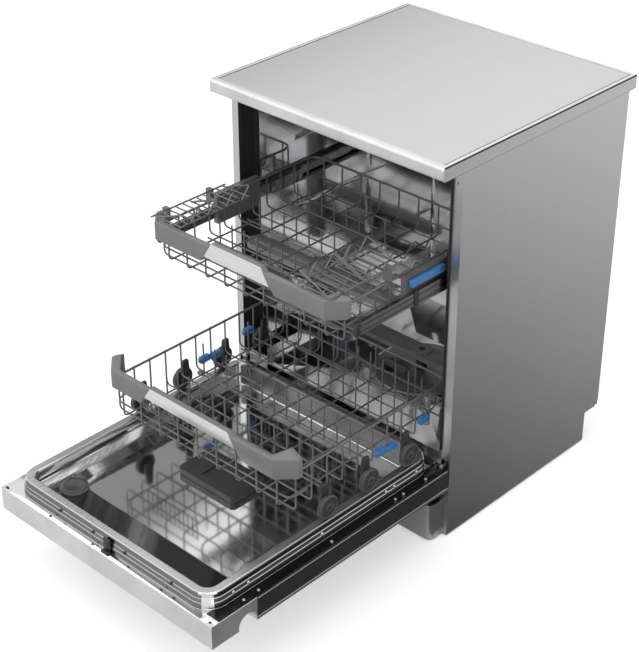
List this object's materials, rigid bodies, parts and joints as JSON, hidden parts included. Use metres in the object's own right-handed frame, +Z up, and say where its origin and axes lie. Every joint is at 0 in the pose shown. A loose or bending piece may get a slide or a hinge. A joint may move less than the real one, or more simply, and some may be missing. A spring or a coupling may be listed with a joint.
{
  "type": "freestanding dishwasher",
  "caption": "Freestanding front-loading dishwasher with its door lowered, two sliding wire racks drawn out, spray arms, a detergent dispenser and a plinth.",
  "frame": {"origin": "bottom centre of the whole machine with its door open flat, on the floor", "axes": "+Z up, +Y from the front to the back of the cabinet, +X to the right of somebody facing the door"},
  "size_m": [0.598, 1.1876, 0.845],
  "materials": {
    "brushed_steel": "brushed",
    "polished_steel": "polished",
    "silver_paint": "satin",
    "zinc_sheet": "satin",
    "black_sheet": "satin",
    "board": "raw",
    "black_rubber": "matt",
    "base_plastic": "matt",
    "grey_plastic": "satin",
    "dark_plastic": "satin",
    "white_plastic": "satin",
    "blue_plastic": "glossy",
    "coated_wire": "satin",
    "weight_iron": "raw",
    "pump_plastic": "satin",
    "inlay_silver": "satin"
  },
  "bodies": {
    "cabinet": {"side_panel_left": "brushed_steel", "side_panel_right": "brushed_steel", "top_frame": "silver_paint", "top_plate": "brushed_steel", "top_board": "board", "back_panel": "zinc_sheet", "crossbar": "zinc_sheet", "feet": "base_plastic", "base_tray": "base_plastic", "plinth": "brushed_steel", "tub": "polished_steel", "tub_gasket": "black_rubber", "seal_strip": "polished_steel", "sump": "pump_plastic", "filter_plate": "polished_steel", "spray_feed": "grey_plastic", "outer_rails": "zinc_sheet", "hinge_brackets": "zinc_sheet", "counterweight": "weight_iron", "pumps": "pump_plastic", "rear_ports": "base_plastic", "door_strike": "zinc_sheet"},
    "door": {"door_panel": "brushed_steel", "control_panel": "silver_paint", "door_frame": "black_sheet", "door_liner": "polished_steel", "door_lip_seal": "black_rubber", "hinge_arms": "zinc_sheet", "dispenser_body": "dark_plastic", "vent_cap": "dark_plastic", "door_lock": "dark_plastic"},
    "dispenser_lid": {"dispenser_lid": "dark_plastic"},
    "rinse_cap": {"rinse_cap": "dark_plastic"},
    "power_button": {"power_button": "dark_plastic"},
    "start_button": {"start_button": "dark_plastic"},
    "filter_cup": {"filter_cup": "grey_plastic"},
    "lower_spray_arm": {"lower_spray_arm": "grey_plastic"},
    "ceiling_spray_arm": {"ceiling_spray_arm": "grey_plastic"},
    "middle_rails": {"middle_rails": "zinc_sheet"},
    "upper_rack": {"inner_rails": "zinc_sheet", "rack_brackets": "dark_plastic", "upper_basket": "coated_wire", "upper_handle": "grey_plastic", "upper_inlay": "inlay_silver", "upper_feed": "grey_plastic"},
    "upper_spray_arm": {"upper_spray_arm": "grey_plastic"},
    "height_lever_left": {"height_lever_left": "blue_plastic"},
    "height_lever_right": {"height_lever_right": "blue_plastic"},
    "cup_shelf_left": {"cup_shelf_left": "coated_wire"},
    "cup_shelf_right": {"cup_shelf_right": "coated_wire"},
    "lower_rack": {"lower_basket": "coated_wire", "lower_handle": "grey_plastic", "lower_inlay": "inlay_silver", "wheel_brackets": "dark_plastic"},
    "wheel_pair_1": {"wheel_pair_1": "grey_plastic"},
    "wheel_pair_2": {"wheel_pair_2": "grey_plastic"},
    "wheel_pair_3": {"wheel_pair_3": "grey_plastic"},
    "wheel_pair_4": {"wheel_pair_4": "grey_plastic"},
    "tine_row_front": {"tine_row_front": "coated_wire"},
    "tine_row_back": {"tine_row_back": "coated_wire"}
  },
  "joints": [
    {"name": "lower_rack_slide", "type": "slide", "parent": "cabinet", "child": "lower_rack", "axis": [0, 1, 0], "range_m": [0, 0.423]},
    {"name": "door_hinge", "type": "hinge", "parent": "cabinet", "child": "door", "pos_m": [0, 0.0502, 0.168], "axis": [-1, 0, 0], "range_deg": [0, 90]},
    {"name": "upper_rack_slide", "type": "slide", "parent": "cabinet", "child": "upper_rack", "axis": [0, 1, 0], "range_m": [0, 0.289]},
    {"name": "middle_rail_slide", "type": "slide", "parent": "cabinet", "child": "middle_rails", "axis": [0, 1, 0], "range_m": [0, 0.1445]},
    {"name": "wheel_pair_1_spin", "type": "hinge", "parent": "lower_rack", "child": "wheel_pair_1", "pos_m": [0, -0.2594, 0.2293], "axis": [-1, 0, 0], "continuous": true},
    {"name": "wheel_pair_2_spin", "type": "hinge", "parent": "lower_rack", "child": "wheel_pair_2", "pos_m": [0, -0.1441, 0.2293], "axis": [-1, 0, 0], "continuous": true},
    {"name": "wheel_pair_3_spin", "type": "hinge", "parent": "lower_rack", "child": "wheel_pair_3", "pos_m": [0, -0.0288, 0.2293], "axis": [-1, 0, 0], "continuous": true},
    {"name": "wheel_pair_4_spin", "type": "hinge", "parent": "lower_rack", "child": "wheel_pair_4", "pos_m": [0, 0.0865, 0.2293], "axis": [-1, 0, 0], "continuous": true},
    {"name": "filter_cup_turn", "type": "hinge", "parent": "cabinet", "child": "filter_cup", "pos_m": [-0.048, 0.2891, 0.154], "axis": [0, 0, 1], "range_deg": [0, 90]},
    {"name": "lower_spray_arm_spin", "type": "hinge", "parent": "cabinet", "child": "lower_spray_arm", "pos_m": [0, 0.3211, 0.188], "axis": [0, 0, 1], "continuous": true},
    {"name": "ceiling_spray_arm_spin", "type": "hinge", "parent": "cabinet", "child": "ceiling_spray_arm", "pos_m": [0, 0.3211, 0.768], "axis": [0, 0, 1], "continuous": true},
    {"name": "upper_spray_arm_spin", "type": "hinge", "parent": "upper_rack", "child": "upper_spray_arm", "pos_m": [0, 0.0021, 0.517], "axis": [0, 0, 1], "continuous": true},
    {"name": "dispenser_lid_slide", "type": "slide", "parent": "door", "child": "dispenser_lid", "axis": [1, 0, 0], "range_m": [0, 0.045]},
    {"name": "rinse_cap_turn", "type": "hinge", "parent": "door", "child": "rinse_cap", "pos_m": [0.03, -0.2384, 0.165], "axis": [0, 0, 1], "range_deg": [0, 90]},
    {"name": "power_button_press", "type": "slide", "parent": "door", "child": "power_button", "axis": [0, 0, 1], "range_m": [0, 0.0015], "stiffness_N_per_m": 600},
    {"name": "start_button_press", "type": "slide", "parent": "door", "child": "start_button", "axis": [0, 0, 1], "range_m": [0, 0.0015], "stiffness_N_per_m": 600},
    {"name": "height_lever_right_lift", "type": "hinge", "parent": "upper_rack", "child": "height_lever_right", "pos_m": [0.26, 0.0486, 0.612], "axis": [-1, 0, 0], "range_deg": [0, 25]},
    {"name": "cup_shelf_right_fold", "type": "hinge", "parent": "upper_rack", "child": "cup_shelf_right", "pos_m": [0.233, -0.0454, 0.648], "axis": [0, 1, 0], "range_deg": [0, 80]},
    {"name": "height_lever_left_lift", "type": "hinge", "parent": "upper_rack", "child": "height_lever_left", "pos_m": [-0.26, 0.0486, 0.612], "axis": [-1, 0, 0], "range_deg": [0, 25]},
    {"name": "cup_shelf_left_fold", "type": "hinge", "parent": "upper_rack", "child": "cup_shelf_left", "pos_m": [-0.233, -0.0454, 0.648], "axis": [0, -1, 0], "range_deg": [0, 80]},
    {"name": "tine_row_front_fold", "type": "hinge", "parent": "lower_rack", "child": "tine_row_front", "pos_m": [0, -0.1354, 0.2576], "axis": [-1, 0, 0], "range_deg": [0, 88]},
    {"name": "tine_row_back_fold", "type": "hinge", "parent": "lower_rack", "child": "tine_row_back", "pos_m": [0, 0.0746, 0.2576], "axis": [1, 0, 0], "range_deg": [0, 88]}
  ],
  "couplings": [
    {"joint": "door_hinge", "follows": "lower_rack_slide", "rad_per_m": 0.04126},
    {"joint": "middle_rail_slide", "follows": "upper_rack_slide", "ratio": 0.5},
    {"joint": "wheel_pair_1_spin", "follows": "lower_rack_slide", "rad_per_m": 40},
    {"joint": "wheel_pair_2_spin", "follows": "lower_rack_slide", "rad_per_m": 40},
    {"joint": "wheel_pair_3_spin", "follows": "lower_rack_slide", "rad_per_m": 40},
    {"joint": "wheel_pair_4_spin", "follows": "lower_rack_slide", "rad_per_m": 40}
  ]
}
